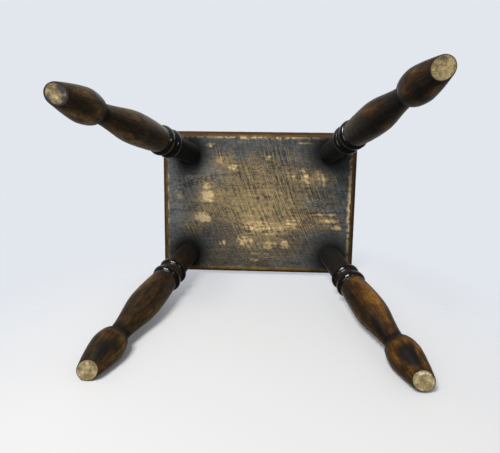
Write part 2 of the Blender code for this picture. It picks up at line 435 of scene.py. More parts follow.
def leg_mesh(shape):
    """A closed mesh lofted through the leg's rings, with a material of its own on each end."""
    rings, top_rows, foot_rows = shape.rings()
    rows = len(rings)
    vertices = rings.reshape(-1, 3)
    vertices = np.vstack([vertices, rings[0].mean(axis=0), rings[-1].mean(axis=0)])
    loops = np.arange(rows * TURN_STEPS).reshape(rows, TURN_STEPS).tolist()
    faces = []
    for first, second in itertools.pairwise(loops):
        faces += strip_faces(first, second)
    for loop, middle in ((loops[0], len(vertices) - 2), (loops[-1], len(vertices) - 1)):
        faces += [(one, other, middle) for one, other in zip(loop, loop[1:] + loop[:1])]
    distance = -rings[:-1, :, 2].mean(axis=1)
    in_crease = (distance >= shape.waist) & (distance < shape.waist + CREASE_LENGTH)
    finishes = np.where((distance < VASE) | in_crease, DULL_POLISH, POLISH)
    finishes[:top_rows] = TENON_END
    finishes[rows - 1 - foot_rows:] = FOOT_END
    finishes = np.repeat([*finishes, TENON_END, FOOT_END], TURN_STEPS)
    mesh = mesh_from(f"turned_leg_{shape.name}", vertices, faces)
    mesh.polygons.foreach_set("material_index", finishes.astype(np.int32))
    return mesh


def kerf_cutter(shape):
    """The wedge's slot across the top of the tenon, in the leg's own axes."""
    rise = SEAT_THICKNESS / shape.level[2]
    low = rise - WEDGE_DEPTH
    high = rise + CUT_MARGIN
    widening = (WEDGE_THICKNESS - WEDGE_TIP) / WEDGE_DEPTH
    bm = bmesh.new()
    bmesh.ops.create_cube(bm, size=1.0)
    for vertex in bm.verts:
        height = high if vertex.co.z > 0 else low - CLEARANCE
        thickness = WEDGE_TIP + widening * (height - low) + 2 * CLEARANCE
        vertex.co.x *= thickness
        vertex.co.y *= 2 * TENON_RADIUS + CUT_MARGIN
        vertex.co.z = height
    name = f"kerf_{shape.name}"
    cutter = new_object(name, mesh_of(name, bm))
    cutter.matrix_world = shape.frame
    return cutter


# Where polish has worn through to golden wood, or built up dark, on each leg: distance
# down the leg and angle from the side that faces the camera (mm, degrees), the half sizes
# of the patch, and how much lighter (or, below zero, darker) it is. Some lighter patches on
# the sides of the front legs are painted sheen from the bright surroundings, and not wear
LEG_WEAR_AND_SHEEN = {
    "front_left": [
        (150, -48, 44, 22, 0.44), (112, -5, 20, 26, -0.10), (165, 10, 26, 20, -0.06),
        (160, 52, 30, 18, 0.16), (224, -42, 18, 20, 0.42), (212, -8, 9, 26, 0.30),
        (243, 4, 14, 22, -0.16), (245, -55, 12, 20, 0.44), (240, 58, 18, 22, 0.26),
        # The patch here is painted sheen at the waist
        (199, 48, 8, 24, 0.45),
    ],
    "front_right": [
        (130, -46, 50, 20, 0.26), (104, 4, 16, 18, -0.22), (150, 8, 60, 12, -0.12),
        (222, -18, 12, 20, 0.36), (219, 36, 8, 18, 0.26), (244, 8, 14, 26, -0.04),
        # The patches at 50 to 58 degrees here are painted sheen, and not wear
        (240, -55, 18, 18, 0.28), (244, 52, 14, 20, 0.46), (130, 58, 55, 18, 0.28),
        (199, 50, 8, 22, 0.36),
    ],
    "back_left": [
        (137, -5, 18, 8, 0.26), (126, -14, 28, 4, -0.30), (104, 62, 28, 22, 0.16),
        (145, -55, 44, 22, 0.28), (150, 20, 40, 5, -0.16), (220, 42, 14, 26, 0.16),
        (210, -10, 8, 32, 0.36), (238, 10, 13, 20, -0.26), (224, -46, 14, 18, 0.34),
        (248, -52, 13, 24, 0.30),
    ],
    "back_right": [
        (116, -44, 34, 22, 0.34), (154, -36, 22, 26, 0.28), (108, 26, 34, 18, -0.20),
        (171, 18, 12, 14, -0.38), (184, 30, 10, 14, -0.28), (190, -20, 5, 20, 0.20),
        (150, 60, 28, 9, 0.18), (215, -4, 9, 32, 0.28), (226, 32, 14, 18, 0.16),
        (214, -50, 12, 20, 0.22), (235, -12, 13, 21, -0.66), (244, -22, 8, 16, -0.30),
        (235, -60, 14, 18, 0.28), (252, 14, 6, 36, 0.18), (253, -60, 8, 22, 0.22),
    ],
}

# How worn each leg is on the whole, on its neck and in the groove between its rings (below
# zero, black), and how orange, and not olive, its worn wood looks
LEG_TONE = {
    "front_left": (0.37, 0.00, -0.30, 0.14),
    "front_right": (0.20, 0.04, -0.30, 0.50),
    "back_left": (0.35, 0.34, 0.40, 0.46),
    "back_right": (0.37, 0.16, 0.30, 0.75),
}

# How dark each leg's neck is, with soot and painted shade
NECK_SOOT_AND_SHADE = {"front_left": 1.0, "front_right": 0.95, "back_left": 0.10, "back_right": 0.64}

# How strongly, and over how wide a rim, the sides of each leg catch the light, and the same
# on its rings, on its neck and in the crease above its bulb
LEG_SHEEN = {
    "front_left": (0.38, 0.36),
    "front_right": (0.44, 0.32),
    "back_left": (0.35, 0.33),
    "back_right": (0.21, 0.32),
}
DULL_SHEEN = (0.06, 0.36)
SHEEN_TINT = (1.0, 0.93, 0.84)

# How glossy each leg's black rings are
RING_GLOSS = {"front_left": 1.4, "front_right": 0.9, "back_left": 0.72, "back_right": 0.52}

# How much of each foot's end is bare wood, and not a black rim, and how pale the wood is
FOOT_ENDS = {
    "front_left": (0.84, 0.30),
    "front_right": (0.95, 0.25),
    "back_left": (0.96, 0.48),
    "back_right": (0.95, 0.54),
}

# Marks on the foot ends: right and up in the picture from the end's middle, the half size
# (mm), and how pale, or below zero how black, the mark is; the pale marks at the top rim
# of the back feet are chips and painted highlight
FOOT_MARKS_AND_HIGHLIGHTS = {
    "front_left": [
        (5, 7, 4.5, -0.9), (9, 2, 3.5, -0.8), (10, -6, 4, -0.9), (2, -5, 3, 0.5), (2, -11, 4, -0.4),
        (-7, -9, 4, -0.9), (-10, -5, 3, -0.6), (-8, 0, 3.5, -0.25), (-2, 0.5, 2.5, -0.3),
    ],
    "front_right": [(-4, 8, 5, -0.35), (0, 9, 3, -0.3), (6.5, 4, 5, 0.15), (0, -7, 6, 0.2)],
    # The pale mark at the top rim here is a chip with painted highlight
    "back_left": [(1, 10, 2.6, 0.55), (-4, 4, 5, 0.3), (5, -2, 5, -0.3), (-2, -7, 4, -0.3)],
    "back_right": [
        # The pale marks along the top rim here are chips with painted highlight
        (-5, 9.4, 1.8, 1.5), (-1.9, 9.9, 1.4, 1.2), (2.3, 9.6, 1.3, 1.0), (5.6, 8.3, 1.3, 0.9),
        (9.5, 8, 2.5, -0.8), (-8, 4, 3.5, 0.3), (-7, -6, 5, -0.3), (4, -5, 4, -0.2),
    ],
}


def leg_wear_and_sheen(shape, points):
    """How worn the polish is at each point, from 0, dark, to 1, golden wood, with painted sheen in some
    lighter patches on the sides.
    """
    whole, on_neck, in_groove, _ = LEG_TONE[shape.name]
    distance = -points[:, 2]
    angle = shape.facing() - np.arctan2(points[:, 1], points[:, 0])
    mottle = clouds(points * np.array([1.0, 1.0, 0.6]), 0.0065, shape.seed + 43) - 0.5
    neck_share = smooth_step(NECK_LENGTH, NECK_LENGTH - NECK_FADE, distance)
    groove_share = near(distance, GROOVE + GROOVE_WIDTH / 2, 0.75 * GROOVE_WIDTH)
    worn = whole + (on_neck - whole) * neck_share + (in_groove - whole) * groove_share
    worn += 0.30 * (clouds(points, 0.026, shape.seed + 41) - 0.5)
    for place, turn, half_length, half_turn, amount in LEG_WEAR_AND_SHEEN[shape.name]:
        apart = np.degrees(np.angle(np.exp(1j * (angle - math.radians(turn)))))
        along = (distance * 1000 - place) / half_length
        worn += amount * np.exp(-(along ** 2) - (apart / half_turn) ** 2)
    worn -= 0.45 * near(distance, shape.waist, CREASE_LENGTH)
    return np.clip(worn * (1 + 1.3 * mottle), 0.0, 1.0)


def ring_black(points):
    """Where the leg is glossy black: on its two rings."""
    distance = -points[:, 2]
    upper = near(distance, UPPER_RING + UPPER_RING_WIDTH / 2, 0.60 * UPPER_RING_WIDTH, 4)
    lower = near(distance, LOWER_RING + LOWER_RING_WIDTH / 2, 0.64 * LOWER_RING_WIDTH, 4)
    return np.clip(upper + lower, 0.0, 1.0)


def neck_soot_and_shade(name, points):
    """Dull black close to the seat and down the neck: soot and painted shade."""
    distance = np.clip(-points[:, 2], 0.0, None)
    root = 0.9 * np.exp(-distance / ROOT_SOOT_AND_SHADE_REACH)
    ring = UPPER_RING + UPPER_RING_WIDTH / 2
    neck = smooth_step(ring + GROOVE_WIDTH, ring - GROOVE_WIDTH, distance)
    return np.maximum(root, NECK_SOOT_AND_SHADE[name] * neck)


def end_reach(points, edge):
    """How far across a level end each point lies, from 0 in its middle to 1 at its edge."""
    centre = edge.mean(axis=0)

    def polar(places):
        x, y, _ = (places - centre).T
        return np.arctan2(y, x), np.hypot(x, y)

    angle, reach = polar(points)
    return reach / np.interp(angle, *polar(edge), period=2 * np.pi)


def foot_marks_and_highlights(name, points, centre):
    marks = np.zeros(len(points))
    for right, up, half_size, amount in FOOT_MARKS_AND_HIGHLIGHTS[name]:
        across = (points[:, 0] - centre[0]) * 1000 - right
        above = (centre[1] - points[:, 1]) * 1000 - up
        marks += amount * near(np.hypot(across, above), 0.0, half_size)
    return marks


def make_leg(name, materials):
    shape = LegShape(name)
    leg = new_object(f"turned_leg_{name}", leg_mesh(shape), materials)
    leg.matrix_world = shape.frame
    cut_away(leg, kerf_cutter(shape))
    points = corner_places(leg.data)
    leg.data.transform(shape.frame)
    leg.matrix_world = Matrix.Identity(4)
    world_points = corner_places(leg.data)
    foot_distance = shape.distance_to(0.0)
    foot_edge = shape.ring_at(foot_distance, shape.radius_at(foot_distance))
    foot_edge = foot_edge @ np.array(shape.turn).T + np.array(shape.frame.translation)
    bare_share, paleness = FOOT_ENDS[name]
    foot = world_points[:, 2] < 2 * FOOT_ROUND
    reach = np.ones(len(points))
    reach[foot] = end_reach(world_points[foot], foot_edge) / bare_share
    marks = np.zeros(len(points))
    marks[foot] = foot_marks_and_highlights(name, world_points[foot], foot_edge.mean(axis=0))
    warm = LEG_TONE[name][3] + 0.8 * (clouds(points, 0.014, shape.seed + 47) - 0.5)
    set_values(leg.data, {
        "worn": leg_wear_and_sheen(shape, points),
        "black": ring_black(points),
        # Soot and painted shade near the seat and down the neck
        "soot_and_shade": neck_soot_and_shade(name, points),
        "warm": np.clip(warm, 0.0, 1.0),
        "reach": reach,
        "mark": marks,
        "paleness": np.full(len(points), paleness),
        "grain_place": points,
    })
    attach(leg, "root")
    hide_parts(f"leg_{name}")


# Seat board

# Fineness of the board's mesh, and rows up its edge
GRID_ALONG = 0.0010
GRID_ACROSS = 0.0012
UNDER_ROWS = 10
SIDE_ROWS = 5
TOP_ROWS = 8
BORE_STEPS = 96

# How round, and not flat, the moulded edge is
EDGE_ROUNDNESS = 0.55

# Saw marks: where their pattern repeats, how they lean and bend, and their mean height
SAW_REPEAT = 0.0272
SAW_SLOPE = 0.40
SAW_CURVE = 0.95
MEAN_RIDGE = 0.66

# Depths of the relief, and the power by which it fades at the edge
SAW_MARK_DEPTH = 0.00028
HOLLOW_DEPTH = 0.0005
WEAR_DEPTH = 0.00025
KNOT_DEPTH = 0.0016
DISH_DEPTH = 0.0009
TOP_WAVE_DEPTH = 0.0004
TOP_DENT_DEPTH = 0.0004
EDGE_WAVE_DEPTH = 0.0007
EDGE_NICK_DEPTH = 0.0003
RELIEF_FADE = 40

# How far dirt and painted shade reach from the legs
SOOT_AND_SHADE_REACH = 0.012
GRIME_AND_SHADE_REACH = 0.028
EDGE_SOOT_AND_SHADE_REACH = 0.035

# Where the stain is rubbed thin in broad, soft patches: right and up in the picture from the
# middle of the underside, the half sizes of the patch (mm), and how thin it is
SEAT_RUBBED = [
    (-8, 22, 92, 62, 0.30), (-2, 0, 60, 38, 0.71), (16, -34, 54, 18, 0.62), (8, 60, 56, 26, 0.25),
    (-60, 66, 18, 14, 0.55), (-88, 2, 26, 40, 0.70), (104, -28, 32, 16, 0.42), (84, 42, 34, 14, 0.60),
    (6, -62, 58, 14, 0.40), (-107, -38, 22, 14, 0.46), (16, -84, 50, 8, 0.26), (70, -8, 26, 26, 0.22),
]

# Where it is worn through in small, ragged patches, given the same way
SEAT_BARE = [
    (-84, 10, 12, 10, 1.10), (-85, 27, 6, 9, 0.74), (-88, -23, 13, 9, 1.15), (-38, 56, 11, 6, 0.84),
    (14, 71, 4, 5, 0.95), (50, 49, 6, 7, 0.40), (55, 40, 6, 8, 0.44), (68, 50, 6, 8, 0.52),
    (73, 42, 6, 9, 0.62), (78, 34, 5, 8, 0.52), (93, 49, 6, 7, 0.46), (98, 41, 6, 9, 0.54),
    (102, 33, 5, 7, 0.44), (5, -38, 40, 11, 0.60), (56, -28, 11, 12, 0.58), (-21, -59, 16, 12, 0.64),
    (17, -65, 14, 9, 0.50), (44, -63, 11, 11, 0.52), (-57, -65, 4, 6, 0.62), (-77, 91, 12, 5, 0.72),
    (-126, 11, 8, 5, 0.56), (-107, -38, 14, 7, 0.26), (-60, 68, 10, 11, 0.34), (81, 20, 4, 7, 0.46),
]

# Where it is scraped off in short, straight dashes, given the same way
SEAT_DASHES = [
    (96, -16, 13, 3.4, 0.48), (117, -15.5, 9, 3.8, 0.58), (113, -26, 18, 4.2, 0.62),
    (124, -36.5, 11, 4.4, 0.60), (107, -33, 8, 2.6, 0.40), (-3, -80, 10, 3.0, 0.50),
    (-5, -91, 10, 2.8, 0.62), (70, 95, 18, 2.4, 0.52), (20, -48, 34, 2.4, 0.45),
    (-8, -30, 26, 2.4, 0.40),
]

# Grey, chalky scuffs on the stain, given the same way
SEAT_SCUFFS = [
    (-108, 38, 11, 8, 0.60), (-125, 22, 7, 9, 0.30), (-112, 0, 26, 44, 0.30), (10, 60, 4, 4, 0.55),
    (37, 67, 5, 4, 0.45), (15, -80, 8, 4, 0.45), (80, 6, 5, 10, 0.35), (104, -6, 22, 5, 0.30),
    (-70, 46, 18, 14, 0.16), (-96, 30, 14, 16, 0.30), (100, 12, 30, 18, 0.14),
]

# Where the saw marks are faint, given the same way
SAW_FAINT = [
    (-75, 50, 32, 28, 0.72), (-130, 0, 52, 100, 0.62), (120, 5, 36, 62, 0.60), (30, -90, 130, 34, 0.50),
    (0, 8, 9, 12, 0.60),
]

# A small knot: right and up in the picture from the middle of the underside, and its radius
KNOT_RIGHT = -0.0007
KNOT_UP = 0.0076
KNOT_RADIUS = 0.0032

# How golden the moulded edge is on each side in the picture, how pale its inner arris is, and
# how far in the arris is worn, in widths of the moulding
EDGE_WEAR = {
    "left": (0.36, 0.60, 1.35),
    "right": (0.26, 1.00, 1.60),
    "up": (0.36, 1.15, 1.38),
    "down": (1.15, 0.20, 1.30),
}


def grid_rim(numbers):
    """The border of a grid of vertex numbers, in order round it."""
    sides = (numbers[0], numbers[1:, -1], numbers[-1, -2::-1], numbers[-2:0:-1, 0])
    return np.concatenate(sides).tolist()


def grid_faces(numbers):
    """Quads between neighbours in a grid of vertex numbers."""
    corners = (numbers[:-1, :-1], numbers[:-1, 1:], numbers[1:, 1:], numbers[1:, :-1])
    return np.stack(corners, axis=-1).reshape(-1, 4).tolist()


def rounded_corner(points, half, radius):
    """Moves points on a rectangle's outline onto one with round corners."""
    reach = half - radius
    past = np.abs(points) - reach
    corner = (past > 0).all(axis=1)
    length = np.linalg.norm(past, axis=1)
    rounded = np.sign(points) * (reach + past * (radius / np.maximum(length, 1e-9))[:, None])
    return np.where(corner[:, None], rounded, points)


def edge_section():
    """Insets and heights of the board's edge, from the underside out and up to the top."""
    turn = np.radians(np.linspace(0, 90, UNDER_ROWS)[1:])
    share = turn / (np.pi / 2)
    round_part = np.column_stack([1 - np.sin(turn), 1 - np.cos(turn)])
    flat_part = np.column_stack([1 - share, share])
    under = UNDER_BEVEL * (EDGE_ROUNDNESS * round_part + (1 - EDGE_ROUNDNESS) * flat_part)
    straight = np.linspace(UNDER_BEVEL, SEAT_THICKNESS - TOP_ROUND, SIDE_ROWS)[1:]
    turn = np.radians(np.linspace(0, 90, TOP_ROWS)[1:-1])
    inset = TOP_ROUND * (1 - np.cos(turn))
    height = SEAT_THICKNESS - TOP_ROUND * (1 - np.sin(turn))
    return [*under, *((0.0, place) for place in straight), *zip(inset, height)]


def level_points(flat, height=0.0):
    return np.column_stack([flat, np.full(len(flat), height)])


def soft_patches(flat, table):
    """How strongly a table of soft patches covers each point, from 0 to 1."""
    clear = np.ones(len(flat))
    for right, up, half_right, half_up, amount in table:
        across = (flat[:, 0] * 1000 - right) / half_right
        above = (flat[:, 1] * 1000 - up) / half_up
        clear *= 1 - amount * np.exp(-np.hypot(across, above) ** 2.5)
    return 1 - clear


def saw_places(flat):
    """Each point's place across and along the curved saw marks."""
    across = flat[:, 0] + SAW_SLOPE * flat[:, 1] - SAW_CURVE * flat[:, 1] ** 2
    return level_points(np.column_stack([across, flat[:, 1]]))


def saw_depth(flat):
    """How deep the saw marks are, from 0 to 1."""
    cloud = clouds(saw_places(flat), (0.024, 0.040, 1.0), 503)
    depth = 0.45 + 0.55 * smooth_step(0.25, 0.70, cloud)
    return depth * (1 - soft_patches(flat, SAW_FAINT))


def saw_ridges(flat):
    """How high each point of the underside stands between the saw marks, from 0 to 1."""
    places = saw_places(flat)
    wander = 0.0016 * clouds(places, (0.030, 0.080, 1.0), 501)
    turn = 2 * np.pi * (places[:, 0] + wander) / SAW_REPEAT
    lines = (2 + np.cos(3 * turn) + np.cos(4 * turn)) / 4
    strokes = noise(places, (0.0020, 0.024, 1.0), 509)
    return 1 - saw_depth(flat) * (1 - 0.68 * lines - 0.32 * strokes)


def seat_grain(flat):
    """Streaks and crumbs along the grain, from about -0.5 to 0.5."""
    points = level_points(flat)
    streaks = clouds(points, (0.016, 0.0020, 1.0), 521, 2)
    crumbs = clouds(points, (0.0036, 0.0026, 1.0), 527, 2)
    return 0.45 * streaks + 0.55 * crumbs - 0.5


def seat_wear(flat):
    """How far the stain has worn off the underside, from 0 to 1."""
    points = level_points(flat)
    ridges = saw_ridges(flat) - MEAN_RIDGE
    grain = seat_grain(flat)
    moved = flat + np.column_stack([
        0.009 * (clouds(points, 0.009, 511) - 0.5) + 0.005 * (noise(points, 0.0035, 513) - 0.5),
        0.005 * (clouds(points, 0.009, 517) - 0.5) + 0.003 * (noise(points, 0.0035, 519) - 0.5),
    ])
    rubbed = soft_patches(flat, SEAT_RUBBED) * (0.51 + 0.40 * ridges + 0.8 * grain)
    bare = soft_patches(moved, SEAT_BARE) * (1 + 1.2 * ridges + 2.6 * grain)
    scraped = soft_patches(flat, SEAT_DASHES) * (1 + 0.3 * ridges + 1.5 * grain)
    left = 1 - np.clip(rubbed, 0.0, 1.0)
    left *= 1 - 0.87 * smooth_step(0.16, 1.10, bare)
    left *= 1 - 0.92 * smooth_step(0.16, 1.0, scraped)
    return 1 - left


def seat_tone_light_and_shade(flat):
    """How light the stain is, from 0 to 1: mottled, with saw marks and streaks along the grain, with
    painted light in the middle of the left end and painted shade towards the bottom and the right end.
    """
    broad = clouds(level_points(flat), (0.030, 0.012, 1.0), 533) - 0.5
    ridges = saw_ridges(flat) - MEAN_RIDGE
    along = flat[:, 0] / SEAT_LENGTH
    across = flat[:, 1] / SEAT_WIDTH
    # Painted light in the middle of the left end, and painted shade towards the bottom and the right
    # end
    left = np.exp(-((along + 0.40) / 0.10) ** 2 - (across / 0.23) ** 2)
    low = smooth_step(0.30, 0.48, -across)
    right = smooth_step(0.18, 0.36, along)
    tone = 0.325 + 0.14 * left - 0.12 * low - 0.13 * right
    tone += 0.35 * broad + 0.60 * seat_grain(flat) + 0.24 * ridges
    return np.clip(tone, 0.0, 1.0)


def seat_slate(flat):
    """Where the stain looks blue-grey, towards the ends and the upper side, and not brown."""
    above = np.clip(flat[:, 1] / (0.50 * SEAT_WIDTH), -0.3, 1.0)
    reach = (flat[:, 0] / (0.50 * SEAT_LENGTH)) ** 2 + above ** 2
    cloud = clouds(level_points(flat), (0.040, 0.014, 1.0), 531)
    return smooth_step(0.18, 0.88, reach + 1.2 * (cloud - 0.5))


def root_dirt_and_shade(flat, fade, left_share=1.0):
    """Dark dirt and painted shade round the legs, where they enter the underside; less of it on the
    left.
    """
    soot_and_shade = np.zeros(len(flat))
    for side_x, side_y, end_inset, side_inset, _, _ in LEGS.values():
        spread = fade * (left_share if side_x < 0 else 1.0)
        root = (side_x * (SEAT_LENGTH / 2 - end_inset), -side_y * (SEAT_WIDTH / 2 - side_inset))
        apart = np.hypot(flat[:, 0] - root[0], flat[:, 1] - root[1])
        apart = np.clip(apart - NECK_RADIUS, 0.0, None)
        soot_and_shade = np.maximum(soot_and_shade, near(apart, 0.0, spread, 1.5))
    return soot_and_shade


def picture_flat(points):
    """Right and up in the picture, from the middle of the underside."""
    return np.column_stack([points[:, 0] - SEAT_CENTRE.x, SEAT_CENTRE.y - points[:, 1]])


def from_knot(flat):
    """How far each point lies from the knot's middle, in its radii."""
    return np.hypot(flat[:, 0] - KNOT_RIGHT, flat[:, 1] - KNOT_UP) / KNOT_RADIUS


def underside_relief(points):
    """How far the underside sinks into the board, for saw marks, worn hollows and a knot."""
    flat = picture_flat(points)
    marks = SAW_MARK_DEPTH * (1 - saw_ridges(flat))
    hollows = HOLLOW_DEPTH * clouds(level_points(flat), 0.045, 541) + WEAR_DEPTH * seat_wear(flat)
    return marks + hollows + KNOT_DEPTH * np.exp(-from_knot(flat) ** 4)


def edge_wear(flat):
    """How golden the moulded edge is, and how pale its inner arris, by the nearest side."""
    room = {
        "left": flat[:, 0] + SEAT_LENGTH / 2,
        "right": SEAT_LENGTH / 2 - flat[:, 0],
        "up": SEAT_WIDTH / 2 - flat[:, 1],
        "down": flat[:, 1] + SEAT_WIDTH / 2,
    }
    rooms = np.stack(list(room.values()))
    nearest = np.argmin(rooms, axis=0)
    inset = rooms.min(axis=0) / UNDER_BEVEL
    golden, pale, reach = np.array([EDGE_WEAR[side] for side in room]).T[:, nearest]
    smears = clouds(level_points(flat), 0.007, 571)
    flecks = smooth_step(0.36, 0.60, clouds(level_points(flat), 0.004, 573))
    # Less golden and pale close to the legs, under dirt and painted shade
    roots = 1 - root_dirt_and_shade(flat, EDGE_SOOT_AND_SHADE_REACH)
    reach = reach + 0.5 * (clouds(level_points(flat), 0.006, 577) - 0.5)
    arris = smooth_step(0.84, 0.98, inset) * smooth_step(0.0, 0.4, reach - inset)
    return golden * (2.2 * smears - 0.1) * roots, pale * flecks * roots * arris


def top_relief(points):
    """How far the top sinks: dished by use, with dents."""
    flat = picture_flat(points)
    level = level_points(flat, 1.0)
    reach = (flat[:, 0] / (SEAT_LENGTH / 2)) ** 2 + (flat[:, 1] / (SEAT_WIDTH / 2)) ** 2
    dents = smooth_step(0.78, 1.0, noise(level, 0.008, 551))
    dish = DISH_DEPTH * np.clip(1 - reach, 0.0, 1.0)
    return dish + TOP_WAVE_DEPTH * clouds(level, 0.030, 553) + TOP_DENT_DEPTH * dents


def seat_mesh():
    """A board made of a fine grid below, a moulded edge all round and a fine grid on top."""
    along = round(SEAT_LENGTH / GRID_ALONG)
    across = round(SEAT_WIDTH / GRID_ACROSS)
    half = np.array([SEAT_LENGTH / 2, SEAT_WIDTH / 2])
    ticks = np.meshgrid(np.linspace(-1, 1, along), np.linspace(-1, 1, across))
    grid = np.column_stack([ticks[0].ravel(), ticks[1].ravel()])
    numbers = np.arange(len(grid)).reshape(across, along)
    rim = grid_rim(numbers)
    centre = np.array(SEAT_CENTRE)[:2]
    low = level_points(grid * (half - UNDER_BEVEL) + centre, UNDERSIDE)
    high = level_points(grid * (half - TOP_ROUND) + centre, SEAT_TOP)
    fade = 1 - np.max(np.abs(grid), axis=1) ** RELIEF_FADE
    low[:, 2] += underside_relief(low) * fade
    high[:, 2] -= top_relief(high) * fade
    layers = [low, high]
    loops = []
    count = 2 * len(grid)
    for inset, height in edge_section():
        flat = rounded_corner(grid[rim] * (half - inset), half - inset, CORNER_ROUND)
        ring = level_points(flat + centre, UNDERSIDE + height)
        worn = EDGE_WAVE_DEPTH * (clouds(ring, 0.014, 561) - 0.5)
        worn += EDGE_NICK_DEPTH * (clouds(ring, 0.004, 563) - 0.5)
        ring[:, :2] -= np.sign(grid[rim]) * (np.abs(grid[rim]) > 0.999) * np.abs(worn)[:, None]
        layers.append(ring)
        loops.append(list(range(count, count + len(rim))))
        count += len(rim)
    faces = grid_faces(numbers) + grid_faces(numbers + len(grid))
    chain = [rim, *loops, grid_rim(numbers + len(grid))]
    for first, second in itertools.pairwise(chain):
        faces += strip_faces(first, second)
    return mesh_from("seat_plank", np.vstack(layers), faces)


def bore_cutter():
    """The four sockets for the tenons, right through the board."""
    bm = bmesh.new()
    radius = TENON_RADIUS + CLEARANCE
    for place in LEGS.values():
        bmesh.ops.create_cone(
            bm, cap_ends=True, segments=BORE_STEPS, radius1=radius, radius2=radius,
            depth=4 * SEAT_THICKNESS, matrix=leg_frame(*place),
        )
    return new_object("sockets", mesh_of("sockets", bm))


def make_seat(materials):
    seat = new_object("seat_plank", seat_mesh(), materials)
    cut_away(seat, bore_cutter())
    points = corner_places(seat.data)
    flat = picture_flat(points)
    inset = np.minimum(SEAT_LENGTH / 2 - np.abs(flat[:, 0]), SEAT_WIDTH / 2 - np.abs(flat[:, 1]))
    golden, pale = edge_wear(flat)
    dark_knot = 0.65 * np.exp(-from_knot(flat) ** 2)
    set_values(seat.data, {
        "worn": seat_wear(flat),
        "slate": seat_slate(flat),
        "sawn": saw_depth(flat),
        # Dirt and painted shade close round the legs, and the dark knot
        "soot_and_shade": np.maximum(root_dirt_and_shade(flat, SOOT_AND_SHADE_REACH), dark_knot),
        "grime_and_shade": root_dirt_and_shade(flat, GRIME_AND_SHADE_REACH, 0.70),
        "tone": seat_tone_light_and_shade(flat),
        "scuff": soft_patches(flat, SEAT_SCUFFS),
        "inset": inset / UNDER_BEVEL,
        "golden": golden,
        "pale": pale,
        "height": (points[:, 2] - UNDERSIDE) / SEAT_THICKNESS,
        "saw_place": saw_places(flat),
    })
    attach(seat, "root")
    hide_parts("seat_board")


# Materials

class Graph:
    """A node tree, with short ways to add nodes to it."""

    def __init__(self, tree):
        self.tree = tree

    def feed(self, socket, value):
        if isinstance(value, bpy.types.NodeSocket):
            self.tree.links.new(value, socket)
        else:
            socket.default_value = value

    def node(self, kind, inputs, output=0, **settings):
        made = self.tree.nodes.new(kind)
        for name, value in settings.items():
            setattr(made, name, value)
        for name, value in inputs.items():
            self.feed(made.inputs[name], value)
        return made.outputs[output]

    def math(self, operation, first, second):
        return self.node("ShaderNodeMath", {0: first, 1: second}, operation=operation)

    def spread(self, value, low, high, to_low=0.0, to_high=1.0):
        """Maps a value from one range to another, held at its ends."""
        inputs = {"Value": value, 1: low, 2: high, 3: to_low, 4: to_high}
        return self.node("ShaderNodeMapRange", inputs, interpolation_type="SMOOTHSTEP")

    def swing(self, noise_value, to_low, to_high):
        """Maps noise, which mostly runs from 0.3 to 0.7, to another range."""
        return self.spread(noise_value, 0.3, 0.7, to_low, to_high)

    def blend(self, share, first, second):
        return self.node("ShaderNodeMix", {"Factor": share, 2: first, 3: second})

    def mix(self, share, first, second):
        """Two colours mixed; a colour is a socket or linear red, green and blue."""
        inputs = {"Factor": share}
        for number, colour in ((6, first), (7, second)):
            inputs[number] = colour if isinstance(colour, bpy.types.NodeSocket) else (*colour, 1.0)
        return self.node("ShaderNodeMix", inputs, 2, data_type="RGBA")

    def coats(self, colour, *layers):
        """A colour with (share, colour) layers over it, one after another."""
        for share, layer in layers:
            colour = self.mix(share, colour, layer)
        return colour

    def ramp(self, share, stops):
        """A colour ramp through (place, colour) stops."""
        made = self.tree.nodes.new("ShaderNodeValToRGB")
        elements = made.color_ramp.elements
        while len(elements) < len(stops):
            elements.new(0.5)
        for element, (place, colour) in zip(elements, stops):
            element.position = place
            element.color = (*colour, 1.0)
        self.feed(made.inputs["Fac"], share)
        return made.outputs["Color"]

    def between(self, noise_value, dark, light):
        """A colour between two, by noise that mostly runs from 0.3 to 0.7."""
        return self.ramp(noise_value, [(0.3, dark), (0.7, light)])


class Shader(Graph):
    """A material built on one surface shader."""

    def __init__(self, name, place_name=None):
        self.material = bpy.data.materials.new(name)
        self.material.use_nodes = True
        super().__init__(self.material.node_tree)
        self.surface = self.tree.nodes["Principled BSDF"]
        if place_name:
            self.place = self.value(place_name, "Vector")
        else:
            self.place = self.node("ShaderNodeTexCoord", {}, "Object")

    def value(self, name, kind="Fac"):
        """What is kept for the vertices under a name: a number, or a place."""
        return self.node("ShaderNodeAttribute", {}, kind, attribute_name=name)

    def grain(self, size, seed, detail=4.0, place=None):
        """Noise from 0 to 1, its features as long as the sizes given along X, Y and Z."""
        scale = [1 / length for length in size]
        inputs = {"Vector": place or self.place, "Location": (seed, seed, seed), "Scale": scale}
        moved = self.node("ShaderNodeMapping", inputs)
        inputs = {"Vector": moved, "Scale": 1.0, "Detail": detail, "Roughness": 0.6}
        return self.node("ShaderNodeTexNoise", inputs, "Fac")

    def growth_rings(self, most):
        inputs = {"Vector": self.place, "Scale": 420.0, "Distortion": 2.0, "Detail": 2.0}
        kinds = {"wave_type": "RINGS", "rings_direction": "Z"}
        rings = self.node("ShaderNodeTexWave", inputs, "Fac", **kinds)
        return self.spread(rings, 0.2, 0.9, 0.0, most)

    def bump(self, height, distance):
        inputs = {"Height": height, "Distance": distance, "Strength": 1.0}
        self.feed(self.surface.inputs["Normal"], self.node("ShaderNodeBump", inputs, "Normal"))

    def finish(self, settings):
        for name, value in settings.items():
            self.feed(self.surface.inputs[name], value)
        return self.material


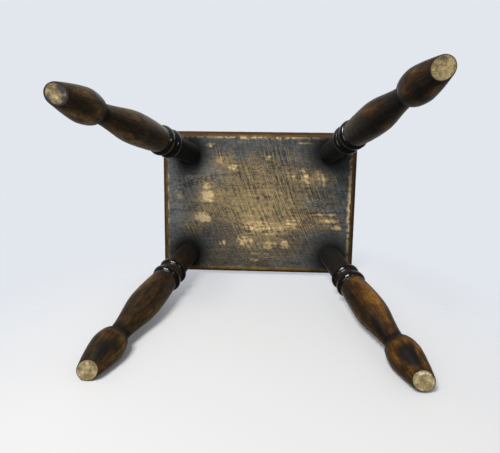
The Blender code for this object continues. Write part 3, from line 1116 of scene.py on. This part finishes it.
def leg_material(name, finish, seed, sheen):
    """Dark polish over turned wood: black on the rings, golden where it has worn thin."""
    shader = Shader(f"{finish}_{name}", "grain_place")
    streak = shader.grain((0.0030, 0.0030, 0.030), seed)
    pores = shader.grain((0.0008, 0.0008, 0.010), seed + 3, 2.0)
    smudge = shader.grain((0.010, 0.010, 0.016), seed + 5)
    black = shader.value("black")
    worn = shader.math("ADD", shader.value("worn"), shader.swing(streak, -0.11, 0.11))
    worn = shader.math("ADD", worn, shader.spread(pores, 0.35, 0.65, -0.11, 0.09))
    olive = shader.ramp(worn, [
        (0.00, (0.0078, 0.0078, 0.0080)),
        (0.25, (0.0150, 0.0118, 0.0085)),
        (0.50, (0.0400, 0.0240, 0.0098)),
        (0.75, (0.0920, 0.0530, 0.0160)),
        (1.00, (0.1850, 0.1080, 0.0380)),
    ])
    orange = shader.ramp(worn, [
        (0.00, (0.0072, 0.0062, 0.0058)),
        (0.25, (0.0165, 0.0095, 0.0050)),
        (0.50, (0.0510, 0.0210, 0.0045)),
        (0.75, (0.1130, 0.0490, 0.0080)),
        (1.00, (0.2150, 0.1000, 0.0240)),
    ])
    colour = shader.coats(
        olive,
        (shader.value("warm"), orange),
        # Soot and painted shade near the seat and down the neck
        (shader.value("soot_and_shade"), (0.0090, 0.0090, 0.0095)),
        (black, (0.004, 0.004, 0.004)),
    )
    dull = shader.swing(smudge, 0.42, 0.58)
    shader.bump(pores, 0.00012)
    return shader.finish({
        "Base Color": colour,
        "Roughness": shader.blend(black, dull, 0.14),
        "Specular IOR Level": shader.blend(black, 0.05, 0.4 * RING_GLOSS[name]),
        "Coat Weight": shader.blend(black, 0.0, 0.7 * RING_GLOSS[name]),
        "Coat Roughness": 0.10,
        "Sheen Weight": sheen[0],
        "Sheen Roughness": sheen[1],
        "Sheen Tint": (*SHEEN_TINT, 1.0),
    })


def end_grain_material(name, seed):
    """A bare sawn foot: pale, dirty in patches, with odd marks, some with painted highlight, and a dark
    rim.
    """
    shader = Shader(f"end_grain_{name}", "grain_place")
    patch = shader.grain((0.006, 0.006, 0.02), seed + 11)
    speck = shader.grain((0.0011, 0.0011, 0.02), seed + 13, 3.0)
    mark = shader.value("mark")
    tone = shader.math("ADD", shader.swing(patch, -0.36, 0.36), shader.value("paleness"))
    tone = shader.math("ADD", tone, shader.swing(speck, -0.22, 0.22))
    colour = shader.ramp(tone, [
        (0.0, (0.120, 0.080, 0.026)),
        (0.4, (0.290, 0.216, 0.092)),
        (0.7, (0.430, 0.335, 0.165)),
        (1.0, (0.640, 0.520, 0.300)),
    ])
    edge = shader.math("ADD", shader.value("reach"), shader.spread(patch, 0.2, 0.8, -0.07, 0.05))
    colour = shader.coats(
        colour,
        (shader.growth_rings(0.20), (0.220, 0.150, 0.070)),
        # Pale marks: chips, and on the top rims of the back feet painted highlight as well
        (shader.spread(mark, 0.05, 0.9), (0.750, 0.630, 0.440)),
        (shader.spread(mark, -0.05, -0.8), (0.030, 0.024, 0.026)),
        (shader.spread(edge, 0.92, 1.02), (0.012, 0.009, 0.006)),
    )
    shader.bump(speck, 0.0005)
    return shader.finish({"Base Color": colour, "Roughness": 0.75})


def tenon_end_material():
    """The tenon's end in the seat's top: dark, waxed end grain."""
    shader = Shader("waxed_tenon_end", "grain_place")
    speck = shader.grain((0.0012, 0.0012, 0.02), 71.0, 3.0)
    tone = shader.math("ADD", shader.swing(speck, 0.0, 0.6), shader.growth_rings(0.4))
    colour = shader.ramp(tone, [(0.0, (0.016, 0.010, 0.006)), (1.0, (0.075, 0.044, 0.022))])
    shader.bump(speck, 0.0003)
    return shader.finish({"Base Color": colour, "Roughness": 0.45})


def underside_colour(shader, rough):
    """Stain from blue-grey to brown, worn to tan, with scuffs, and dirt and painted shade round the
    legs.
    """
    worn = shader.math("ADD", shader.value("worn"), rough)
    tone = shader.math("ADD", shader.value("tone"), rough)
    brown = shader.ramp(tone, [
        (0.0, (0.030, 0.026, 0.020)),
        (0.4, (0.090, 0.077, 0.058)),
        (1.0, (0.260, 0.225, 0.160)),
    ])
    slate = shader.ramp(tone, [
        (0.0, (0.026, 0.030, 0.033)),
        (0.4, (0.079, 0.086, 0.089)),
        (1.0, (0.236, 0.246, 0.248)),
    ])
    tan = shader.ramp(worn, [
        (0.08, (0.115, 0.092, 0.060)),
        (0.40, (0.245, 0.180, 0.090)),
        (0.70, (0.430, 0.312, 0.146)),
        (1.00, (0.810, 0.608, 0.322)),
    ])
    scuff = shader.math("MULTIPLY", shader.value("scuff"), shader.spread(tone, 0.24, 0.58, 0.0, 1.6))
    return shader.coats(
        brown,
        (shader.value("slate"), slate),
        (shader.spread(worn, 0.02, 0.40), tan),
        (scuff, (0.300, 0.300, 0.292)),
        # Dirt and painted shade round the legs, first over a wide reach, then close in
        (shader.spread(shader.value("grime_and_shade"), 0.0, 1.0, 0.0, 0.76), (0.026, 0.029, 0.030)),
        (shader.value("soot_and_shade"), (0.005, 0.005, 0.005)),
    )


def edge_colour(shader, fibre, speckle, inset):
    """Dark brown on the moulded edge, golden where it is worn."""
    band = shader.between(fibre, (0.026, 0.013, 0.004), (0.066, 0.034, 0.010))
    gold = shader.between(fibre, (0.170, 0.090, 0.016), (0.360, 0.205, 0.042))
    inner = shader.math("MULTIPLY", shader.spread(inset, 0.32, 0.76), shader.value("golden"))
    inner = shader.math("MULTIPLY", inner, shader.swing(speckle, 0.5, 1.5))
    return shader.mix(inner, band, gold)


def top_colour(shader, fibre):
    """Dark brown wax on the top, rubbed lighter in broad patches."""
    rub = shader.grain((0.110, 0.060, 0.110), 3.0)
    waxed = shader.between(fibre, (0.018, 0.010, 0.006), (0.060, 0.030, 0.013))
    rubbed = shader.between(fibre, (0.052, 0.027, 0.012), (0.130, 0.070, 0.028))
    return shader.mix(shader.spread(rub, 0.42, 0.66), waxed, rubbed)


def seat_material():
    """The board: stained and worn below, brown at its moulded edge and on its top."""
    shader = Shader("stained_board")
    fibre = shader.grain((0.030, 0.0012, 0.0012), 1.0)
    speckle = shader.grain((0.0026, 0.0009, 0.0017), 2.0, 3.0)
    saw_place = shader.value("saw_place", "Vector")
    stroke = shader.grain((0.0012, 0.030, 1.0), 5.0, 2.0, saw_place)
    stroke = shader.math("MULTIPLY", shader.swing(stroke, -0.18, 0.24), shader.value("sawn"))
    rough = shader.math("ADD", stroke, shader.swing(speckle, -0.15, 0.15))
    inset = shader.value("inset")
    height = shader.value("height")
    arris = shader.math("MULTIPLY", shader.value("pale"), shader.spread(height, 0.3, 0.2))
    colour = shader.coats(
        underside_colour(shader, rough),
        (shader.spread(inset, 1.04, 0.94), edge_colour(shader, fibre, speckle, inset)),
        (arris, (0.540, 0.415, 0.245)),
        (shader.spread(height, 0.55, 0.80), top_colour(shader, fibre)),
    )
    shader.bump(shader.math("ADD", fibre, speckle), 0.0003)
    shine = shader.spread(height, 0.6, 0.9, 0.62, 0.36)
    return shader.finish({"Base Color": colour, "Roughness": shine, "Specular IOR Level": 0.12})


def wedge_material():
    """Waxed oak with grain along the wedge, darkened with the top."""
    shader = Shader("waxed_wedge")
    fibre = shader.grain((0.0010, 0.012, 0.0010), 21.0)
    colour = shader.between(fibre, (0.055, 0.030, 0.014), (0.130, 0.078, 0.036))
    shader.bump(fibre, 0.0003)
    return shader.finish({"Base Color": colour, "Roughness": 0.5})


# Stage, light and camera

# Tints and sizes of the floors, the shares of their radius between which they fade out, and
# how bright the background is
PICTURE_TINT = (0.54, 0.535, 0.533)
PICTURE_RADIUS = 0.55
PICTURE_SHIFT = 0.12
STANDING_TINT = (0.86, 0.86, 0.86)
STANDING_RADIUS = 1.6
FLOOR_STEPS = 96
FADE_START = 0.35
FADE_END = 0.98
BACKGROUND_STRENGTH = 0.85

# Each light's direction from the stool, its distance and size in metres, and its power in watts
LIGHTS = {
    "key": ((-0.30, -0.79, -0.53), 3.0, (1.1, 0.9), 112.0),
    "fill": ((-0.40, -0.20, -0.89), 1.6, (0.8, 0.8), 5.0),
    "glint": ((0.57, -0.33, -0.74), 1.6, (0.25, 0.35), 2.0),
}


def fading_floor(name, matrix, radius, tint):
    """A pale round floor that is seen from its upper side only and fades out at its edge."""
    bm = bmesh.new()
    bmesh.ops.create_circle(bm, cap_ends=True, segments=FLOOR_STEPS, radius=radius)
    shader = Shader(name)
    reach = shader.node("ShaderNodeVectorMath", {0: shader.place}, "Value", operation="LENGTH")
    shown = shader.spread(reach, FADE_END * radius, FADE_START * radius)
    back = shader.node("ShaderNodeNewGeometry", {}, "Backfacing")
    shown = shader.math("MULTIPLY", shown, shader.math("SUBTRACT", 1.0, back))
    material = shader.finish({"Base Color": (*tint, 1.0), "Roughness": 0.9, "Alpha": shown})
    floor = new_object(name, mesh_of(name, bm), [material])
    floor.matrix_world = matrix
    for rays in ("diffuse", "glossy", "transmission", "shadow"):
        setattr(floor, f"visible_{rays}", False)


def picture_floor():
    """The floor that the stool lies on in the picture, under the seat's edge and the back feet."""
    feet = [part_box(f"leg_{name}")[1].y for name in ("back_left", "back_right")]
    seat_edge = Vector((0.0, SEAT_HIGH.y, SEAT_TOP))
    foot_edge = Vector((0.0, max(feet), 0.0))
    along = (foot_edge - seat_edge).normalized()
    side = Vector((1.0, 0.0, 0.0))
    normal = along.cross(side)
    middle = foot_edge + along * PICTURE_SHIFT
    matrix = axes_at(middle, side, normal.cross(side), normal)
    fading_floor("picture_floor", matrix, PICTURE_RADIUS, PICTURE_TINT)


def area_light(name, direction, distance, size, power):
    lamp = bpy.data.lights.new(name, "AREA")
    lamp.shape = "RECTANGLE"
    lamp.size, lamp.size_y = size
    lamp.energy = power
    light = new_object(name, lamp)
    light.location = Vector((0.0, 0.0, SEAT_TOP / 2)) + Vector(direction).normalized() * distance
    light.rotation_euler = Vector(direction).to_track_quat("Z", "Y").to_euler()


def make_world():
    """Pale all round for the camera; as light, bright from above and behind, and dim from below."""
    world = bpy.data.worlds.new("pale_studio")
    world.use_nodes = True
    bpy.context.scene.world = world
    graph = Graph(world.node_tree)
    direction = graph.node("ShaderNodeTexCoord", {}, "Generated")

    def lean(towards):
        inputs = {0: direction, 1: towards}
        return graph.node("ShaderNodeVectorMath", inputs, "Value", operation="DOT_PRODUCT")

    lit = graph.spread(lean((0.0, 0.35, 0.94)), -0.80, -0.10, 0.11, 0.68)
    mirrored = graph.spread(lean((0.0, -0.40, 0.92)), 0.05, 0.90, 0.03, 0.50)
    is_glossy = graph.node("ShaderNodeLightPath", {}, "Is Glossy Ray")
    is_camera = graph.node("ShaderNodeLightPath", {}, "Is Camera Ray")
    strength = graph.blend(is_camera, graph.blend(is_glossy, lit, mirrored), BACKGROUND_STRENGTH)
    background = world.node_tree.nodes["Background"]
    tint = graph.mix(is_camera, (0.96, 0.98, 1.0), (0.90, 0.94, 1.0))
    graph.feed(background.inputs["Color"], tint)
    graph.feed(background.inputs["Strength"], strength)


def make_camera():
    data = bpy.data.cameras.new("photo_camera")
    data.lens = FOCAL_LENGTH
    data.sensor_width = SENSOR_WIDTH
    data.clip_start = NEAREST_SEEN
    camera = new_object("photo_camera", data)
    back = (CAMERA_PLACE - CAMERA_AIM).normalized()
    picture_up = Vector((0.0, -1.0, 0.0))
    right = picture_up.cross(back).normalized()
    roll = Matrix.Rotation(math.radians(CAMERA_ROLL), 4, "Z")
    camera.matrix_world = axes_at(CAMERA_PLACE, right, back.cross(right), back) @ roll
    bpy.context.scene.camera = camera


def main():
    make_seat([seat_material()])
    tenon_end = tenon_end_material()
    for number, name in enumerate(LEGS):
        seed = 10.0 * (number + 1)
        polish = leg_material(name, "polish", seed, LEG_SHEEN[name])
        dull_polish = leg_material(name, "dull_polish", seed, DULL_SHEEN)
        make_leg(name, [polish, dull_polish, end_grain_material(name, seed), tenon_end])
    wedge_wood = wedge_material()
    for name in LEGS:
        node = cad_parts[f"wedge_{name}"]
        node.data.materials.clear()
        node.data.materials.append(wedge_wood)
    picture_floor()
    fading_floor("standing_floor", Matrix.Identity(4), STANDING_RADIUS, STANDING_TINT)
    for name, settings in LIGHTS.items():
        area_light(name, *settings)
    make_world()
    make_camera()
    bpy.context.scene.view_settings.view_transform = "Standard"


main()
